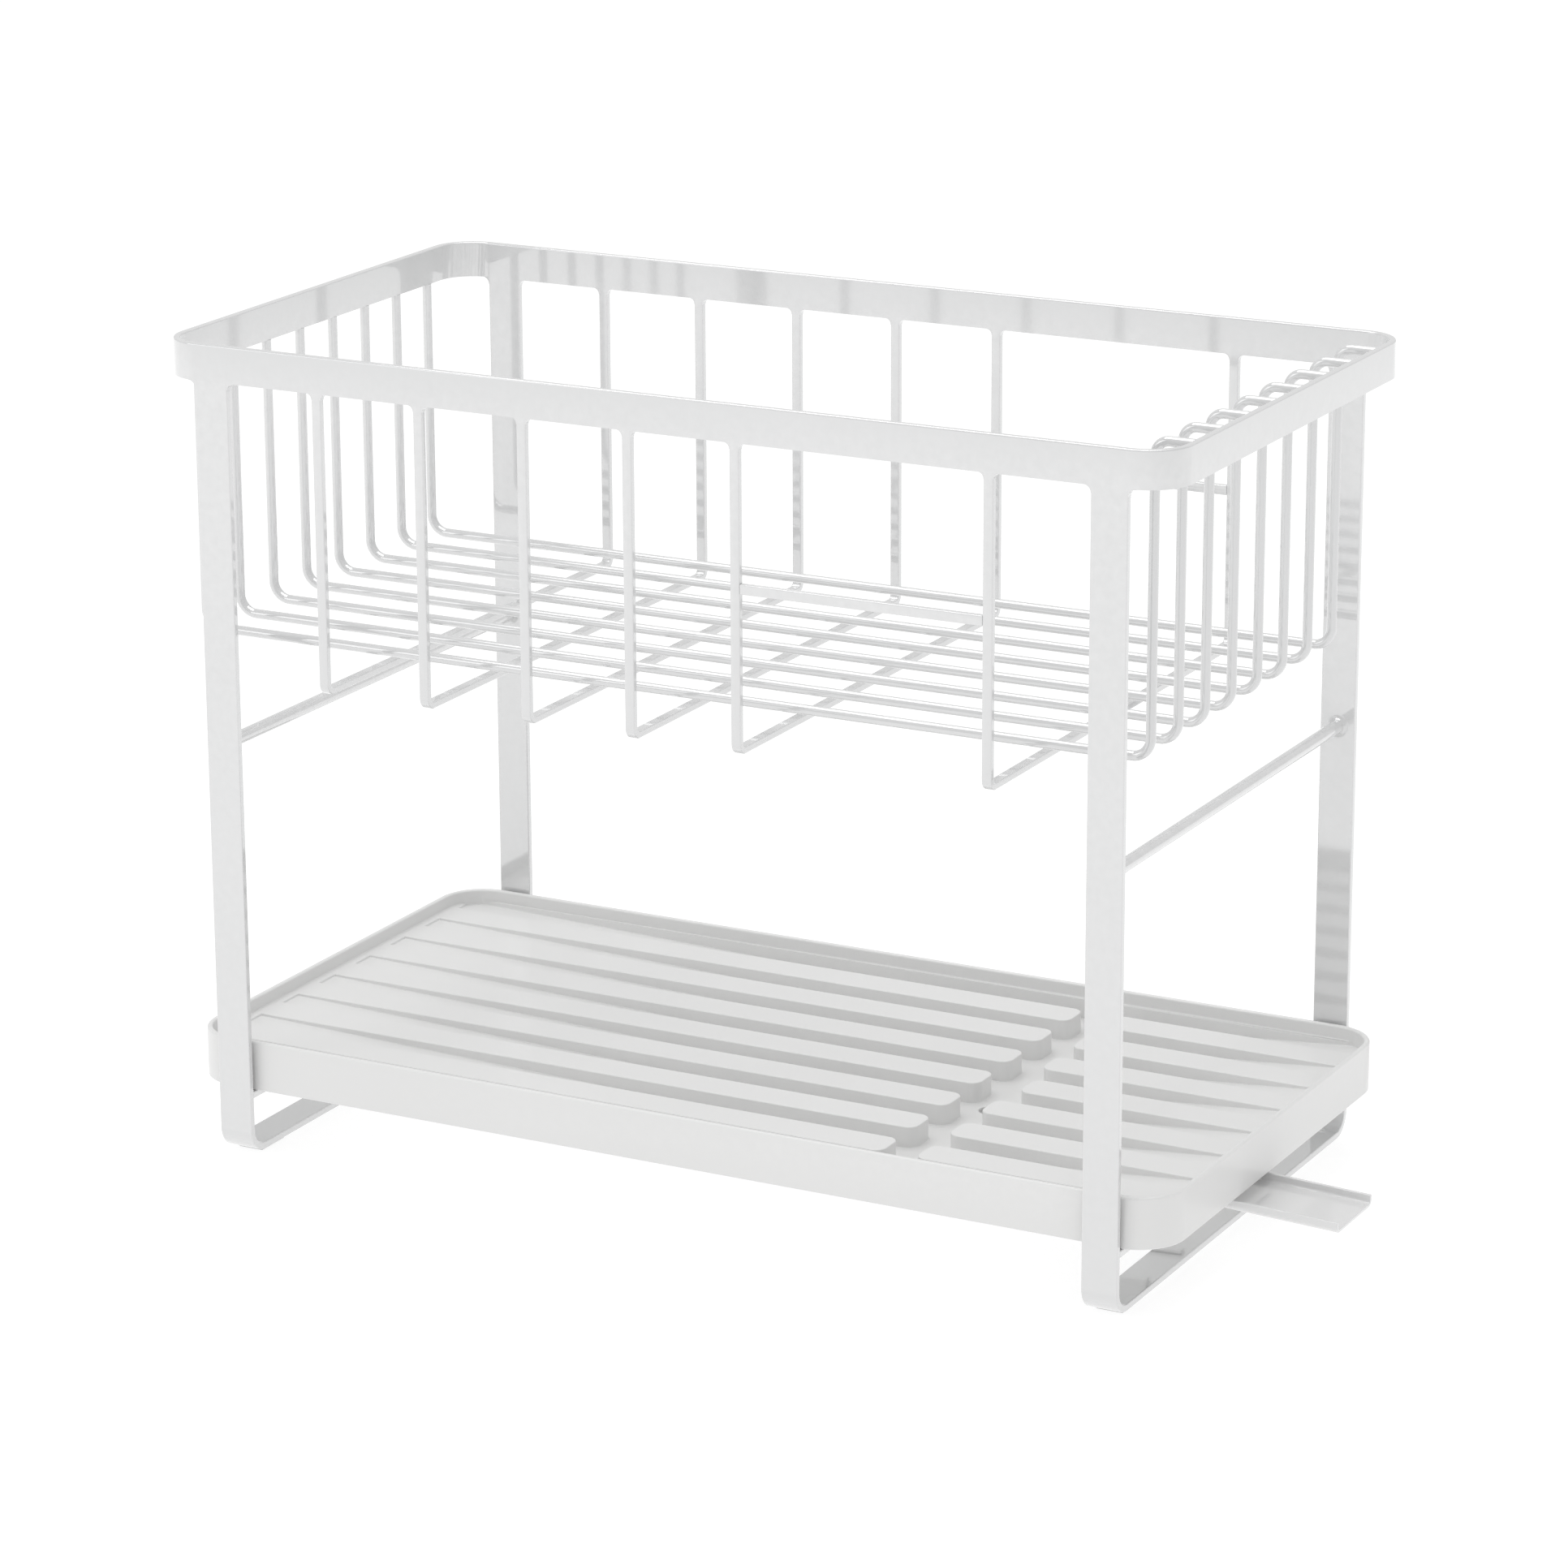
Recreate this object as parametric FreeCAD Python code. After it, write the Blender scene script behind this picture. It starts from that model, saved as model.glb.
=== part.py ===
import FreeCAD, Part
import os
from math import cos, radians, sin, tan

# Two-tier dish drying rack: a welded strip frame with a wire basket on top and a
# sliding drip tray and its pull-out drain spout below.
# Units are millimetres.  Each shape is built about the middle of the frame, x to the
# right, y to the back, z up from the floor, and is moved to the part frame on export.

# frame
frame_width = 470.0
frame_depth = 247.0
frame_height = 364.0
strip_thickness = 3.0
strip_edge_radius = 0.5
band_height = 16.0
band_corner_radius = 19.0
band_edge_radius = 0.8
leg_width = 16.0
leg_inset = 27.0
leg_bend_radius = 11.0
rod_diameter = 6.0

# feet
foot_height = 1.5
foot_length = 18.0
foot_width = 12.0

# basket
basket_depth = 132.5
wire_count = 8
wire_diameter = 4.2
wire_end_margin = 10.0
wire_bend_radius = 8.0
hook_bend_radius = 6.0
hook_inset = 17.5
hook_drop = 0.4
strip_width = 4.3
strip_end_inset = 79.2
pitched_strip_count = 5
wide_bay = 113.4
strip_drop = 14.5
strip_bend_radius = 5.0
gap_bar_drop = 76.5
brace_drop = 43.0

# drip tray
tray_end_inset = 0.5
tray_leg_clearance = 2.0
tray_rest_clearance = 0.3
tray_rest_reach = 10.5
tray_bottom = 30.5
tray_height = 22.5
tray_corner_radius = 21.0
tray_wall = 2.5
tray_rim_radius = 1.0
tray_floor_thickness = 2.0
rim_above_ribs = 6.1
rib_count = 7
rib_pitch = 30.8
rib_width = 17.5
rib_corner_radius = 5.0
groove_depth = 9.6
groove_end_depth = 1.2
groove_end_margin = 4.0
channel_to_right_end = 121.3
channel_width = 15.2
channel_floor_margin = 6.0
middle_rib_setback = 3.8

# drain outlet and spout
drain_y = -12.0
drain_radius = 5.0
spout_centre_y = -22.5
spout_overhang = 43.5
spout_width = 38.0
spout_wall = 1.6
spout_wall_height = 5.0
spout_corner_radius = 3.0
spout_tip_top = 26.0
spout_slope = 2.46
spout_clearance = 0.3
guide_wall = 2.0
guide_lip_reach = 3.0
guide_lip_thickness = 1.6
guide_start = 7.0
guide_length = 73.0

# derived positions
half_width = frame_width / 2
half_depth = frame_depth / 2
band_bottom = frame_height - band_height
inner_face_x = half_width - strip_thickness
inner_face_y = half_depth - strip_thickness
leg_centre_x = half_width - leg_inset
wire_radius = wire_diameter / 2
wire_left_x = strip_thickness / 2 - half_width
wire_right_x = inner_face_x - hook_inset
wire_floor_height = frame_height - basket_depth
wire_span = frame_depth - 2 * (band_corner_radius + wire_end_margin)
wire_pitch = wire_span / (wire_count - 1)
hook_height = frame_height - hook_drop - wire_radius
strip_end_x = half_width - strip_end_inset
strip_pitch = (2 * strip_end_x - wide_bay) / (pitched_strip_count - 1)
strip_floor_height = wire_floor_height - strip_drop
gap_bar_height = frame_height - gap_bar_drop
brace_height = wire_floor_height - brace_drop
rest_top = tray_bottom - tray_rest_clearance
tray_half_length = half_width - tray_end_inset
tray_half_depth = inner_face_y - tray_leg_clearance
tray_top = tray_bottom + tray_height
rib_top = tray_top - rim_above_ribs
groove_floor = rib_top - groove_depth
groove_end_floor = rib_top - groove_end_depth
groove_underside = groove_floor - tray_floor_thickness
tray_end_underside = groove_end_floor - tray_floor_thickness
channel_right = tray_half_length - channel_to_right_end
channel_left = channel_right - channel_width
drain_x = (channel_left + channel_right) / 2
groove_end_x = tray_half_length - tray_wall - groove_end_margin
groove_width = rib_pitch - rib_width
channel_reach = rib_count * rib_pitch / 2 + groove_width / 2
level_left = channel_left - channel_floor_margin
level_right = channel_right + middle_rib_setback + channel_floor_margin
spout_tip_x = half_width + spout_overhang
spout_fall = tan(radians(spout_slope))
spout_length = (spout_tip_x - channel_left) / cos(radians(spout_slope))
left_extent = wire_left_x - wire_radius
frame_shift_x = -(spout_tip_x + left_extent) / 2
part_shift = FreeCAD.Vector(frame_shift_x, 0, 0)
same_place = 0.01


def vec(x, y, z):
    return FreeCAD.Vector(x, y, z)


def box(x0, x1, y0, y1, z0, z1):
    """Axis-aligned box between two corners."""
    return Part.makeBox(x1 - x0, y1 - y0, z1 - z0, vec(x0, y0, z0))


def rod_along_y(x, z, y0, y1, diameter):
    """Round rod running front to back."""
    return Part.makeCylinder(diameter / 2, y1 - y0, vec(x, y0, z), vec(0, 1, 0))


def rounded_block(half_x, half_y, radius, z0, z1):
    """Upright block with rounded plan corners, centred on the z axis."""
    block = box(-half_x, half_x, -half_y, half_y, z0, z1)
    upright = [e for e in block.Edges if abs(e.Vertexes[0].Z - e.Vertexes[1].Z) > (z1 - z0) / 2]
    return block.makeFillet(radius, upright)


def prism_along_y(points, y0, y1):
    """Solid whose x-z outline is the closed list of points."""
    corners = [vec(x, y0, z) for x, z in points]
    outline = Part.makePolygon(corners + corners[:1])
    return Part.Face(outline).extrude(vec(0, y1 - y0, 0))


def corner_arc(centre, start, radius, sign_y, sign_z):
    """Quarter arc in the y-z plane from start, bulging towards sign_y, sign_z."""
    diagonal = radius * sin(radians(45))
    middle = vec(centre.x, centre.y + sign_y * diagonal, centre.z + sign_z * diagonal)
    if abs(start.z - centre.z) < radius / 2:
        end = vec(centre.x, centre.y, centre.z + sign_z * radius)
    else:
        end = vec(centre.x, centre.y + sign_y * radius, centre.z)
    return Part.Arc(start, middle, end).toShape()


def u_strip(centre_x, width, top, bottom, outer_radius):
    """Flat strip bent into an upright U, front to back, flush with the frame faces."""
    x0 = centre_x - width / 2
    inner_radius = outer_radius - strip_thickness
    bend_z = bottom + outer_radius
    bend_y = half_depth - outer_radius
    front = vec(x0, -bend_y, bend_z)
    back = vec(x0, bend_y, bend_z)
    edges = [
        Part.makeLine(vec(x0, -half_depth, top), vec(x0, -half_depth, bend_z)),
        corner_arc(front, vec(x0, -half_depth, bend_z), outer_radius, -1, -1),
        Part.makeLine(vec(x0, -bend_y, bottom), vec(x0, bend_y, bottom)),
        corner_arc(back, vec(x0, bend_y, bottom), outer_radius, 1, -1),
        Part.makeLine(vec(x0, half_depth, bend_z), vec(x0, half_depth, top)),
        Part.makeLine(vec(x0, half_depth, top), vec(x0, inner_face_y, top)),
        Part.makeLine(vec(x0, inner_face_y, top), vec(x0, inner_face_y, bend_z)),
        corner_arc(back, vec(x0, inner_face_y, bend_z), inner_radius, 1, -1),
        Part.makeLine(
            vec(x0, bend_y, bottom + strip_thickness),
            vec(x0, -bend_y, bottom + strip_thickness),
        ),
        corner_arc(front, vec(x0, -bend_y, bottom + strip_thickness), inner_radius, -1, -1),
        Part.makeLine(vec(x0, -inner_face_y, bend_z), vec(x0, -inner_face_y, top)),
        Part.makeLine(vec(x0, -inner_face_y, top), vec(x0, -half_depth, top)),
    ]
    outline = Part.Wire(Part.__sortEdges__(edges))
    strip = Part.Face(outline).extrude(vec(width, 0, 0))
    long_edges = []
    for edge in strip.Edges:
        across = edge.BoundBox.XLength > same_place
        at_top = edge.BoundBox.ZMin > top - same_place
        if not across and not at_top:
            long_edges.append(edge)
    return strip.makeFillet(strip_edge_radius, long_edges)


def basket_wire(y):
    """Round wire: down from the left band, along the floor, up and hooked to the right band."""
    diagonal = sin(radians(45))
    bend = wire_bend_radius
    hook = hook_bend_radius
    floor = wire_floor_height

    def arc(cx, cz, radius, start, side_x, side_z, end):
        middle = vec(cx + side_x * radius * diagonal, y, cz + side_z * radius * diagonal)
        return Part.Arc(start, middle, end).toShape()

    left_foot = vec(wire_left_x, y, floor + bend)
    floor_left = vec(wire_left_x + bend, y, floor)
    floor_right = vec(wire_right_x - bend, y, floor)
    right_foot = vec(wire_right_x, y, floor + bend)
    hook_start = vec(wire_right_x, y, hook_height - hook)
    hook_end = vec(wire_right_x + hook, y, hook_height)
    path = Part.Wire([
        Part.makeLine(vec(wire_left_x, y, band_bottom), left_foot),
        arc(wire_left_x + bend, floor + bend, bend, left_foot, -1, -1, floor_left),
        Part.makeLine(floor_left, floor_right),
        arc(wire_right_x - bend, floor + bend, bend, floor_right, 1, -1, right_foot),
        Part.makeLine(right_foot, hook_start),
        arc(wire_right_x + hook, hook_height - hook, hook, hook_start, -1, 1, hook_end),
        Part.makeLine(hook_end, vec(inner_face_x, y, hook_height)),
    ])
    start = vec(wire_left_x, y, band_bottom)
    profile = Part.Wire(Part.makeCircle(wire_radius, start, vec(0, 0, -1)))
    return path.makePipeShell([profile], True, True)


def rim_band():
    """Flat strip standing on edge, bent into a closed rounded rectangle."""
    outer = rounded_block(half_width, half_depth, band_corner_radius, band_bottom, frame_height)
    inner_radius = band_corner_radius - strip_thickness
    opening = rounded_block(inner_face_x, inner_face_y, inner_radius, band_bottom, frame_height)
    band = outer.cut(opening)
    top_edges = [e for e in band.Edges if e.BoundBox.ZMin > frame_height - same_place]
    return band.makeFillet(band_edge_radius, top_edges)


def rib_end_corners(tray):
    """Upright tray edges where a rib ends at the drain channel."""
    rib_ends = (channel_left, channel_right, channel_right + middle_rib_setback)
    found = []
    for edge in tray.Edges:
        bounds = edge.BoundBox
        upright = bounds.XLength + bounds.YLength < same_place
        tall = bounds.ZLength > groove_depth / 2
        at_channel = min(abs(bounds.XMin - x) for x in rib_ends) < same_place
        between_ribs = abs(bounds.YMin) < rib_count * rib_pitch / 2
        if upright and tall and at_channel and between_ribs:
            found.append(edge)
    return found


def groove_outline(end_x, level_x, channel_x):
    """Side view of a groove: it deepens from the end wall, then runs level to the channel."""
    return [
        (end_x, rib_top), (channel_x, rib_top), (channel_x, groove_floor),
        (level_x, groove_floor), (end_x, groove_end_floor),
    ]


def drip_tray():
    """Rounded tray with sloping drain grooves, a cross channel and the spout guides."""
    inner_length = tray_half_length - tray_wall
    inner_depth = tray_half_depth - tray_wall
    inner_radius = tray_corner_radius - tray_wall
    body = rounded_block(
        tray_half_length, tray_half_depth, tray_corner_radius, tray_bottom, tray_top
    )
    basin = rounded_block(inner_length, inner_depth, inner_radius, rib_top, tray_top)
    hollow = rounded_block(inner_length, inner_depth, inner_radius, tray_bottom, rib_top)
    underside = prism_along_y([
        (-inner_length, tray_bottom),
        (inner_length, tray_bottom),
        (inner_length, tray_end_underside),
        (groove_end_x, tray_end_underside),
        (level_right, groove_underside),
        (level_left, groove_underside),
        (-groove_end_x, tray_end_underside),
        (-inner_length, tray_end_underside),
    ], -inner_depth, inner_depth)
    body = body.cut(basin).cut(hollow.common(underside))
    left = groove_outline(-groove_end_x, level_left, channel_left)
    right = groove_outline(groove_end_x, level_right, channel_right)
    for index in range(rib_count + 1):
        centre = (index - rib_count / 2) * rib_pitch
        y0 = centre - groove_width / 2
        y1 = centre + groove_width / 2
        for outline in (left, right):
            body = body.cut(prism_along_y(outline, y0, y1).common(hollow))
    body = body.cut(
        box(channel_left, channel_right, -channel_reach, channel_reach, groove_floor, rib_top)
    )
    setback = box(
        channel_right, channel_right + middle_rib_setback,
        -rib_width / 2, rib_width / 2, groove_floor, rib_top,
    )
    body = body.cut(setback)
    body = body.makeFillet(rib_corner_radius, rib_end_corners(body))
    rim_edges = [e for e in body.Edges if e.BoundBox.ZMin > tray_top - same_place]
    body = body.makeFillet(tray_rim_radius, rim_edges)
    bore = Part.makeCylinder(
        drain_radius, tray_floor_thickness, vec(drain_x, drain_y, groove_underside)
    )
    for side in (-1, 1):
        body = body.fuse(spout_guide(side))
    return body.cut(bore).removeSplitter()


def spout_block(start, end, half, low, high, radius):
    """Block along the spout axis, measured from the tip, with rounded lower edges."""
    block = box(start, end, -half, half, low, high)
    lower = []
    for edge in block.Edges:
        first, last = [v.Point for v in edge.Vertexes]
        if abs(first.y - last.y) < radius and max(first.z, last.z) < low + radius / 2:
            lower.append(edge)
    block = block.makeFillet(radius, lower)
    block.rotate(vec(0, 0, 0), vec(0, 1, 0), spout_slope)
    block.translate(vec(spout_tip_x, spout_centre_y, spout_tip_top))
    return block


def spout_guide(side):
    """L-shaped runner under the tray that carries one edge of the spout."""
    outer = spout_width / 2 + spout_clearance + guide_wall
    inner = spout_width / 2 - guide_lip_reach
    y0, y1 = sorted((spout_centre_y + side * outer, spout_centre_y + side * inner))
    x0 = channel_right + guide_start
    x1 = x0 + guide_length
    rise = (tray_end_underside - groove_underside) / (groove_end_x - level_right)
    root = groove_underside + tray_floor_thickness / 2
    depth = spout_wall_height + spout_clearance + guide_lip_thickness
    outline = []
    for x in (x0, x1):
        outline.append((x, root + (x - level_right) * rise))
    for x in (x1, x0):
        outline.append((x, spout_tip_top + (spout_tip_x - x) * spout_fall - depth))
    passage = spout_block(
        -2 * spout_length, 0, spout_width / 2 + spout_clearance,
        -spout_wall_height - spout_clearance, tray_height, spout_corner_radius,
    )
    return prism_along_y(outline, y0, y1).cut(passage)


def drain_spout():
    """Open trough, closed at its inner end, falling away from below the drain hole."""
    half = spout_width / 2
    trough = spout_block(
        -spout_length, 0, half, -spout_wall_height, 0, spout_corner_radius
    )
    inside = spout_block(
        spout_wall - spout_length, spout_width, half - spout_wall,
        spout_wall - spout_wall_height, spout_wall_height, spout_corner_radius - spout_wall,
    )
    return trough.cut(inside)


def tray_rest(side_x, side_y):
    """Short tab welded to the inside of a leg, just below the tray edge."""
    y0, y1 = sorted((side_y * inner_face_y, side_y * (inner_face_y - tray_rest_reach)))
    x = side_x * leg_centre_x
    return box(
        x - leg_width / 2, x + leg_width / 2, y0, y1, rest_top - strip_thickness, rest_top
    )


def foot(side_x, side_y):
    """Flat pad under the end of a runner."""
    outer_y = half_depth - leg_bend_radius
    y0, y1 = sorted((side_y * outer_y, side_y * (outer_y - foot_length)))
    x = side_x * leg_centre_x
    return box(x - foot_width / 2, x + foot_width / 2, y0, y1, 0, foot_height)


strip_positions = [index * strip_pitch - strip_end_x for index in range(pitched_strip_count)]
strip_positions.append(strip_end_x)
gap_start = strip_positions[-2] + strip_width / 2
gap_end = strip_positions[-1] - strip_width / 2

parts = {
    "rim_band": rim_band(),
    "drip_tray": drip_tray(),
    "drain_spout": drain_spout(),
}

for side, sign in (("left", -1), ("right", 1)):
    x = sign * leg_centre_x
    parts[side + "_side_frame"] = u_strip(x, leg_width, band_bottom, foot_height, leg_bend_radius)
    parts[side + "_brace"] = rod_along_y(
        x, brace_height, -inner_face_y, inner_face_y, rod_diameter
    )
    parts["tray_rest_front_" + side] = tray_rest(sign, -1)
    parts["tray_rest_back_" + side] = tray_rest(sign, 1)
    parts["foot_front_" + side] = foot(sign, -1)
    parts["foot_back_" + side] = foot(sign, 1)

for index in range(wire_count):
    y = (index - (wire_count - 1) / 2) * wire_pitch
    parts["basket_wire_%d" % (index + 1)] = basket_wire(y)

for index, x in enumerate(strip_positions):
    parts["basket_strip_%d" % (index + 1)] = u_strip(
        x, strip_width, band_bottom, strip_floor_height, strip_bend_radius
    )

for name, y0 in (("front_gap_bar", -half_depth), ("back_gap_bar", inner_face_y)):
    z0 = gap_bar_height - strip_width / 2
    parts[name] = box(gap_start, gap_end, y0, y0 + strip_thickness, z0, z0 + strip_width)

os.makedirs("parts", exist_ok=True)
for name, shape in parts.items():
    shape.translate(part_shift)
    shape.exportStep("parts/" + name + ".step")
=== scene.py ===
import math

import bmesh
import bpy
from mathutils import Matrix, Vector


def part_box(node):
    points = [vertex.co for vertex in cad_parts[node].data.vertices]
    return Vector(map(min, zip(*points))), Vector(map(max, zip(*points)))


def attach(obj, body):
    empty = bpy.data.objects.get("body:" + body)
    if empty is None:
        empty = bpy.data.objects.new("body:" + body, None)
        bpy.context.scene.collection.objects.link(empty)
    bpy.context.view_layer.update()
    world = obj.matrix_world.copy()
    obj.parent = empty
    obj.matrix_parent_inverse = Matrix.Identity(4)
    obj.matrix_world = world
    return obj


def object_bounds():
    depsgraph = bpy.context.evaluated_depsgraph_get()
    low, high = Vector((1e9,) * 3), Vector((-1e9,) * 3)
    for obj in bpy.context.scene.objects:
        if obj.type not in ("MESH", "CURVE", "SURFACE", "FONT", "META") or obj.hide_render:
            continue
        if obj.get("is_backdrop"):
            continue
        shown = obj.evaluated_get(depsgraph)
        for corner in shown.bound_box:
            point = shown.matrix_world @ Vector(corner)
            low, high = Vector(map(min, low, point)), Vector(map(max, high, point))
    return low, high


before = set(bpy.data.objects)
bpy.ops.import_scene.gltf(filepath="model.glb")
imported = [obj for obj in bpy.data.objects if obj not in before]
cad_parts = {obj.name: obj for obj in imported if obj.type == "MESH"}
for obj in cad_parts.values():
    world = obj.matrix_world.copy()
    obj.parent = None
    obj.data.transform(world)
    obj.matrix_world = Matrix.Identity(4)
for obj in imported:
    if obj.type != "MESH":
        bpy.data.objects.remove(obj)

# camera: viewing direction in degrees, place in metres from the middle of the object,
# lens and sensor in millimetres
CAMERA_AZIMUTH = 27.732
CAMERA_ELEVATION = 16.734
CAMERA_ROLL = -0.232
CAMERA_OFFSET = Vector((1.045786, -2.030500, 0.673856))
CAMERA_LENS = 126.83
CAMERA_SENSOR = 36.0

# colours, linear
METAL_LOW = (0.68, 0.685, 0.685)
METAL_HIGH = (0.72, 0.72, 0.725)
TRAY_LOW = (0.74, 0.74, 0.735)
TRAY_HIGH = (0.78, 0.78, 0.775)
SPOUT_LOW = (0.74, 0.74, 0.74)
SPOUT_HIGH = (0.78, 0.78, 0.78)
PAD_LOW = (0.60, 0.60, 0.60)
PAD_HIGH = (0.68, 0.68, 0.68)
WORN = (0.90, 0.90, 0.90)
WHITE = (1, 1, 1, 1)

# surface textures: noise scales per metre of object space, and levels of detail
MOTTLE_SCALE = 9.0
MOTTLE_DETAIL = 4.0
SCUFF_SCALE = 260.0
SCUFF_DETAIL = 3.0
SMEAR_SCALE = 34.0
SMEAR_DETAIL = 5.0
GRAIN_DETAIL = 2.0
GRAIN_HEIGHT = 0.0002
WEAR_START = 0.52
WEAR_FULL = 0.60
COAT_ROUGHNESS = 0.04

# roundings, in metres, and the angles between faces that they go by
METAL_EDGE = 0.0005
TRAY_EDGE = 0.0005
SPOUT_EDGE = 0.0004
PAD_EDGE = 0.0003
EDGE_SEGMENTS = 3
STITCH = 0.00001
FLAT_ANGLE = math.radians(0.1)
SHARP_ANGLE = math.radians(50)

# welds, in metres
LEG_FILLET = 0.0032
STRIP_FILLET = 0.0026
BRACE_FILLET = 0.0022
WELD_INSET = 0.00006
WELD_OVERLAP = 0.0006
FILLET_STEPS = 8
RING_STEPS = 32

# studio: sizes and offsets in metres, powers in watts
WORLD_STRENGTH = 0.73
FLOOR_SIZE = 60.0
FLOOR_COLOR = (0.30, 0.30, 0.30)
FLOOR_GLOW = 0.80
FLOOR_ROUGHNESS = 0.9
OVERHEAD_OFFSET = Vector((-0.3, 0.0, 2.2))
OVERHEAD_SIZE = 2.0
OVERHEAD_POWER = 24.0
SIDE_OFFSET = Vector((-2.0, -2.2, 1.1))
SIDE_SIZE = 1.4
SIDE_POWER = 7.0


def middle(bounds):
    """Middle of a pair of opposite corners."""
    low, high = bounds
    return (Vector(low) + Vector(high)) / 2


def node(tree, kind, **inputs):
    """A shader node with some of its input values set."""
    made = tree.nodes.new(kind)
    for name, value in inputs.items():
        made.inputs[name.replace("_", " ")].default_value = value
    return made


def surface(name, low, high, gloss, grain_scale, grain_strength, metallic, coat, wear):
    """White surface: mottled colour, uneven gloss, fine bump and lightly rubbed edges."""
    material = bpy.data.materials.new(name)
    material.use_nodes = True
    tree = material.node_tree
    shader = tree.nodes["Principled BSDF"]
    shader.inputs["Metallic"].default_value = metallic
    shader.inputs["Coat Weight"].default_value = coat
    shader.inputs["Coat Roughness"].default_value = COAT_ROUGHNESS
    link = tree.links.new
    place = tree.nodes.new("ShaderNodeTexCoord")

    mottle = node(tree, "ShaderNodeTexNoise", Scale=MOTTLE_SCALE, Detail=MOTTLE_DETAIL)
    link(place.outputs["Object"], mottle.inputs["Vector"])
    tone = tree.nodes.new("ShaderNodeValToRGB")
    tone.color_ramp.elements[0].color = (*low, 1)
    tone.color_ramp.elements[1].color = (*high, 1)
    link(mottle.outputs["Fac"], tone.inputs["Fac"])

    edge = tree.nodes.new("ShaderNodeNewGeometry")
    worn = node(
        tree, "ShaderNodeMapRange", From_Min=WEAR_START, From_Max=WEAR_FULL, To_Max=wear
    )
    link(edge.outputs["Pointiness"], worn.inputs["Value"])
    scuff = node(tree, "ShaderNodeTexNoise", Scale=SCUFF_SCALE, Detail=SCUFF_DETAIL)
    link(place.outputs["Object"], scuff.inputs["Vector"])
    patch = tree.nodes.new("ShaderNodeMath")
    patch.operation = "MULTIPLY"
    link(worn.outputs["Result"], patch.inputs[0])
    link(scuff.outputs["Fac"], patch.inputs[1])
    rubbed = tree.nodes.new("ShaderNodeMixRGB")
    rubbed.inputs["Color2"].default_value = (*WORN, 1)
    link(patch.outputs["Value"], rubbed.inputs["Fac"])
    link(tone.outputs["Color"], rubbed.inputs["Color1"])
    link(rubbed.outputs["Color"], shader.inputs["Base Color"])

    smear = node(tree, "ShaderNodeTexNoise", Scale=SMEAR_SCALE, Detail=SMEAR_DETAIL)
    link(place.outputs["Object"], smear.inputs["Vector"])
    rough = node(tree, "ShaderNodeMapRange", To_Min=gloss[0], To_Max=gloss[1])
    link(smear.outputs["Fac"], rough.inputs["Value"])
    link(rough.outputs["Result"], shader.inputs["Roughness"])

    fine = node(tree, "ShaderNodeTexNoise", Scale=grain_scale, Detail=GRAIN_DETAIL)
    link(place.outputs["Object"], fine.inputs["Vector"])
    bump = node(tree, "ShaderNodeBump", Strength=grain_strength, Distance=GRAIN_HEIGHT)
    link(fine.outputs["Fac"], bump.inputs["Height"])
    link(bump.outputs["Normal"], shader.inputs["Normal"])
    return material


def dress(name, material, edge):
    """Gives a CAD node its material, shades it smooth and rounds its sharp edges."""
    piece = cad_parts[name]
    piece.data.materials.clear()
    piece.data.materials.append(material)
    stitch = piece.modifiers.new("stitch", "WELD")
    stitch.merge_threshold = STITCH
    if edge:
        flat = piece.modifiers.new("flat", "DECIMATE")
        flat.decimate_type = "DISSOLVE"
        flat.angle_limit = FLAT_ANGLE
        bevel = piece.modifiers.new("edge", "BEVEL")
        bevel.width = edge
        bevel.segments = EDGE_SEGMENTS
        bevel.limit_method = "ANGLE"
        bevel.angle_limit = SHARP_ANGLE
        bevel.use_clamp_overlap = False
    for face in piece.data.polygons:
        face.use_smooth = True
    split = piece.modifiers.new("split", "EDGE_SPLIT")
    split.split_angle = SHARP_ANGLE
    piece.modifiers.new("even", "WEIGHTED_NORMAL")


def concave_bead(mesh, corner, across, radius, y0, y1):
    """Hollow-faced weld under a level edge, beside an upright one, from y0 to y1."""
    down = Vector((0, 0, -1))
    centre = corner + across * radius + down * radius
    section = [corner - across * WELD_OVERLAP]
    for step in range(FILLET_STEPS + 1):
        turn = math.radians(90) * step / FILLET_STEPS
        section.append(centre - across * radius * math.sin(turn) - down * radius * math.cos(turn))
    section.append(corner + down * radius - across * WELD_OVERLAP)
    rings = []
    for y in (y0, y1):
        rings.append([mesh.verts.new((point.x, y, point.z)) for point in section])
    mesh.faces.new(rings[0])
    mesh.faces.new(rings[1][::-1])
    for index in range(len(section)):
        after = (index + 1) % len(section)
        mesh.faces.new((rings[0][after], rings[0][index], rings[1][index], rings[1][after]))


def ring_bead(mesh, centre, along, up, stock, radius):
    """Concave ring of weld around round stock where it meets a face; along leaves the face."""
    side = along.cross(up)
    rings = []
    for turn_step in range(RING_STEPS):
        turn = math.radians(360) * turn_step / RING_STEPS
        outward = up * math.cos(turn) + side * math.sin(turn)
        ring = [mesh.verts.new(centre + outward * (stock - WELD_INSET))]
        for step in range(FILLET_STEPS + 1):
            bend = math.radians(90) * step / FILLET_STEPS
            reach = stock + radius * (1 - math.sin(bend))
            lift = radius * (1 - math.cos(bend))
            ring.append(mesh.verts.new(centre + outward * reach + along * lift))
        rings.append(ring)
    for index, ring in enumerate(rings):
        after = rings[(index + 1) % RING_STEPS]
        for place in range(len(ring)):
            following = (place + 1) % len(ring)
            mesh.faces.new((ring[place], ring[following], after[following], after[place]))


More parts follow.
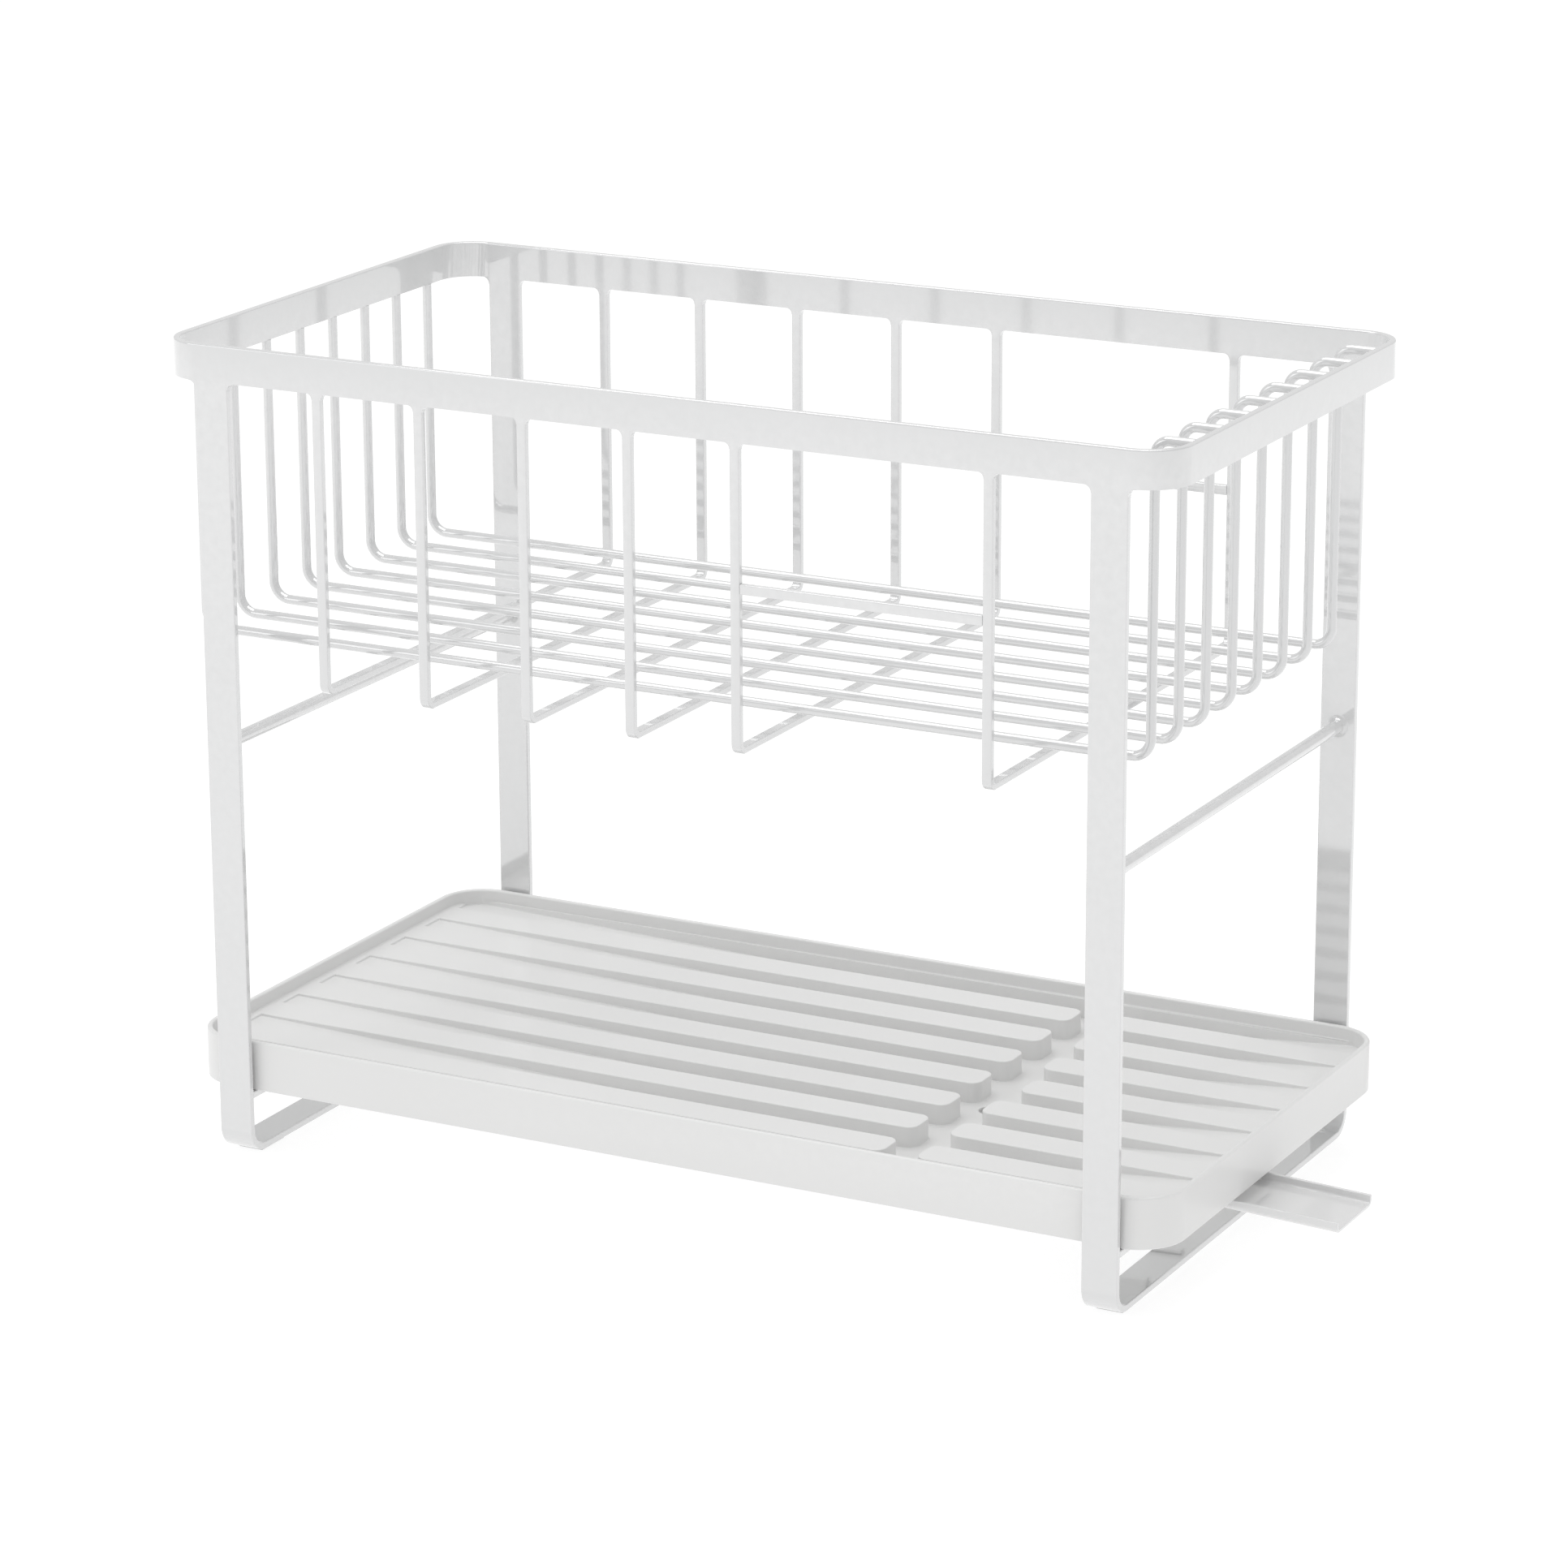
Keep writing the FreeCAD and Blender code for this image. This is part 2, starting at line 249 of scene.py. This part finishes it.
def welded(name, mesh, material):
    """Turns finished weld geometry into a piece that rides on the rack."""
    bmesh.ops.recalc_face_normals(mesh, faces=mesh.faces)
    data = bpy.data.meshes.new(name)
    mesh.to_mesh(data)
    mesh.free()
    data.materials.append(material)
    data.shade_smooth()
    data.set_sharp_from_angle(angle=SHARP_ANGLE)
    piece = bpy.data.objects.new(name, data)
    bpy.context.scene.collection.objects.link(piece)
    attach(piece, "rack")


def strip_welds(name, strips, radius, material):
    """Fillets beside the tops of upright strips, under the rim band, front and back."""
    mesh = bmesh.new()
    band_bottom = Vector((0, 0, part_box("rim_band")[0][2]))
    bar_low, bar_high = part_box("front_gap_bar")
    thickness = bar_high[1] - bar_low[1]
    for strip in strips:
        low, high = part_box(strip)
        faces = ((low[1], low[1] + thickness), (high[1] - thickness, high[1]))
        for edge_x, across in ((low[0], Vector((-1, 0, 0))), (high[0], Vector((1, 0, 0)))):
            corner = band_bottom + Vector((edge_x, 0, 0))
            for y0, y1 in faces:
                concave_bead(mesh, corner, across, radius, y0 + WELD_INSET, y1 - WELD_INSET)
    welded(name, mesh, material)


def brace_welds(name, braces, radius, material):
    """Rings of weld where both ends of each round brace meet the legs."""
    mesh = bmesh.new()
    up = Vector((0, 0, 1))
    for brace in braces:
        low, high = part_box(brace)
        stock = (high[2] - low[2]) / 2
        for y, inward in ((low[1], 1), (high[1], -1)):
            centre = middle((low, high))
            centre.y = y
            ring_bead(mesh, centre, Vector((0, inward, 0)), up, stock, radius)
    welded(name, mesh, material)


def pale_floor():
    """Large floor that glows a little, so that it reads white under the object."""
    bpy.ops.mesh.primitive_plane_add(size=FLOOR_SIZE)
    floor = bpy.context.object
    floor.name = "floor"
    pale = bpy.data.materials.new("pale_floor")
    pale.use_nodes = True
    shader = pale.node_tree.nodes["Principled BSDF"]
    shader.inputs["Base Color"].default_value = (*FLOOR_COLOR, 1)
    shader.inputs["Roughness"].default_value = FLOOR_ROUGHNESS
    shader.inputs["Specular IOR Level"].default_value = 0.0
    shader.inputs["Emission Color"].default_value = WHITE
    shader.inputs["Emission Strength"].default_value = FLOOR_GLOW
    floor.data.materials.append(pale)
    floor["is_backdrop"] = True


def white_world():
    """Even white surroundings."""
    world = bpy.data.worlds.new("studio")
    bpy.context.scene.world = world
    world.use_nodes = True
    sky = world.node_tree.nodes["Background"]
    sky.inputs["Color"].default_value = WHITE
    sky.inputs["Strength"].default_value = WORLD_STRENGTH


def soft_light(name, target, offset, size, power):
    """Large square light at an offset from the target and aimed at it."""
    data = bpy.data.lights.new(name, "AREA")
    data.size = size
    data.energy = power
    lamp = bpy.data.objects.new(name, data)
    bpy.context.scene.collection.objects.link(lamp)
    lamp.location = target + offset
    lamp.rotation_euler = (-offset).to_track_quat("-Z", "Y").to_euler()


def main_camera(target):
    """Camera at its offset from the target, turned by azimuth, elevation and roll."""
    azimuth = math.radians(CAMERA_AZIMUTH)
    elevation = math.radians(CAMERA_ELEVATION)
    roll = math.radians(CAMERA_ROLL)
    forward = Vector((
        -math.sin(azimuth) * math.cos(elevation),
        math.cos(azimuth) * math.cos(elevation),
        -math.sin(elevation),
    ))
    level_right = Vector((math.cos(azimuth), math.sin(azimuth), 0))
    level_up = level_right.cross(forward)
    right = math.cos(roll) * level_right + math.sin(roll) * level_up
    up = -math.sin(roll) * level_right + math.cos(roll) * level_up
    lens = bpy.data.cameras.new("camera")
    lens.sensor_width = CAMERA_SENSOR
    lens.lens = CAMERA_LENS
    camera = bpy.data.objects.new("camera", lens)
    bpy.context.scene.collection.objects.link(camera)
    turned = Matrix((right, up, -forward)).transposed().to_4x4()
    camera.matrix_world = Matrix.Translation(target + CAMERA_OFFSET) @ turned
    bpy.context.scene.camera = camera


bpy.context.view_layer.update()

metal = surface(
    "white_metal", METAL_LOW, METAL_HIGH, gloss=(0.04, 0.08),
    grain_scale=60.0, grain_strength=0.010, metallic=0.3, coat=1.0, wear=0.5,
)
plastic = surface(
    "tray_plastic", TRAY_LOW, TRAY_HIGH, gloss=(0.26, 0.38),
    grain_scale=1500.0, grain_strength=0.05, metallic=0.0, coat=0.15, wear=0.3,
)
glossy = surface(
    "spout_plastic", SPOUT_LOW, SPOUT_HIGH, gloss=(0.10, 0.18),
    grain_scale=200.0, grain_strength=0.02, metallic=0.0, coat=0.8, wear=0.3,
)
pad = surface(
    "foot_pad", PAD_LOW, PAD_HIGH, gloss=(0.55, 0.70),
    grain_scale=1800.0, grain_strength=0.25, metallic=0.0, coat=0.0, wear=0.1,
)

# the rods, bent strips and rim band keep the edges that they have in the CAD
cad_names = sorted(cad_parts)
for name in cad_names:
    if name == "drip_tray":
        dress(name, plastic, TRAY_EDGE)
    elif name == "drain_spout":
        dress(name, glossy, SPOUT_EDGE)
    elif name.startswith("foot_"):
        dress(name, pad, PAD_EDGE)
    elif name.startswith("tray_rest") or name.endswith("gap_bar"):
        dress(name, metal, METAL_EDGE)
    else:
        dress(name, metal, 0)

basket_strips = [name for name in cad_names if name.startswith("basket_strip_")]
strip_welds("weld_leg_tops", ["left_side_frame", "right_side_frame"], LEG_FILLET, metal)
strip_welds("weld_strip_tops", basket_strips, STRIP_FILLET, metal)
brace_welds("weld_brace_ends", ["left_brace", "right_brace"], BRACE_FILLET, metal)

pale_floor()
white_world()
bpy.context.scene.view_settings.view_transform = "Standard"
heart = middle(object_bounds())
soft_light("overhead", heart, OVERHEAD_OFFSET, OVERHEAD_SIZE, OVERHEAD_POWER)
soft_light("front_left", heart, SIDE_OFFSET, SIDE_SIZE, SIDE_POWER)
main_camera(heart)
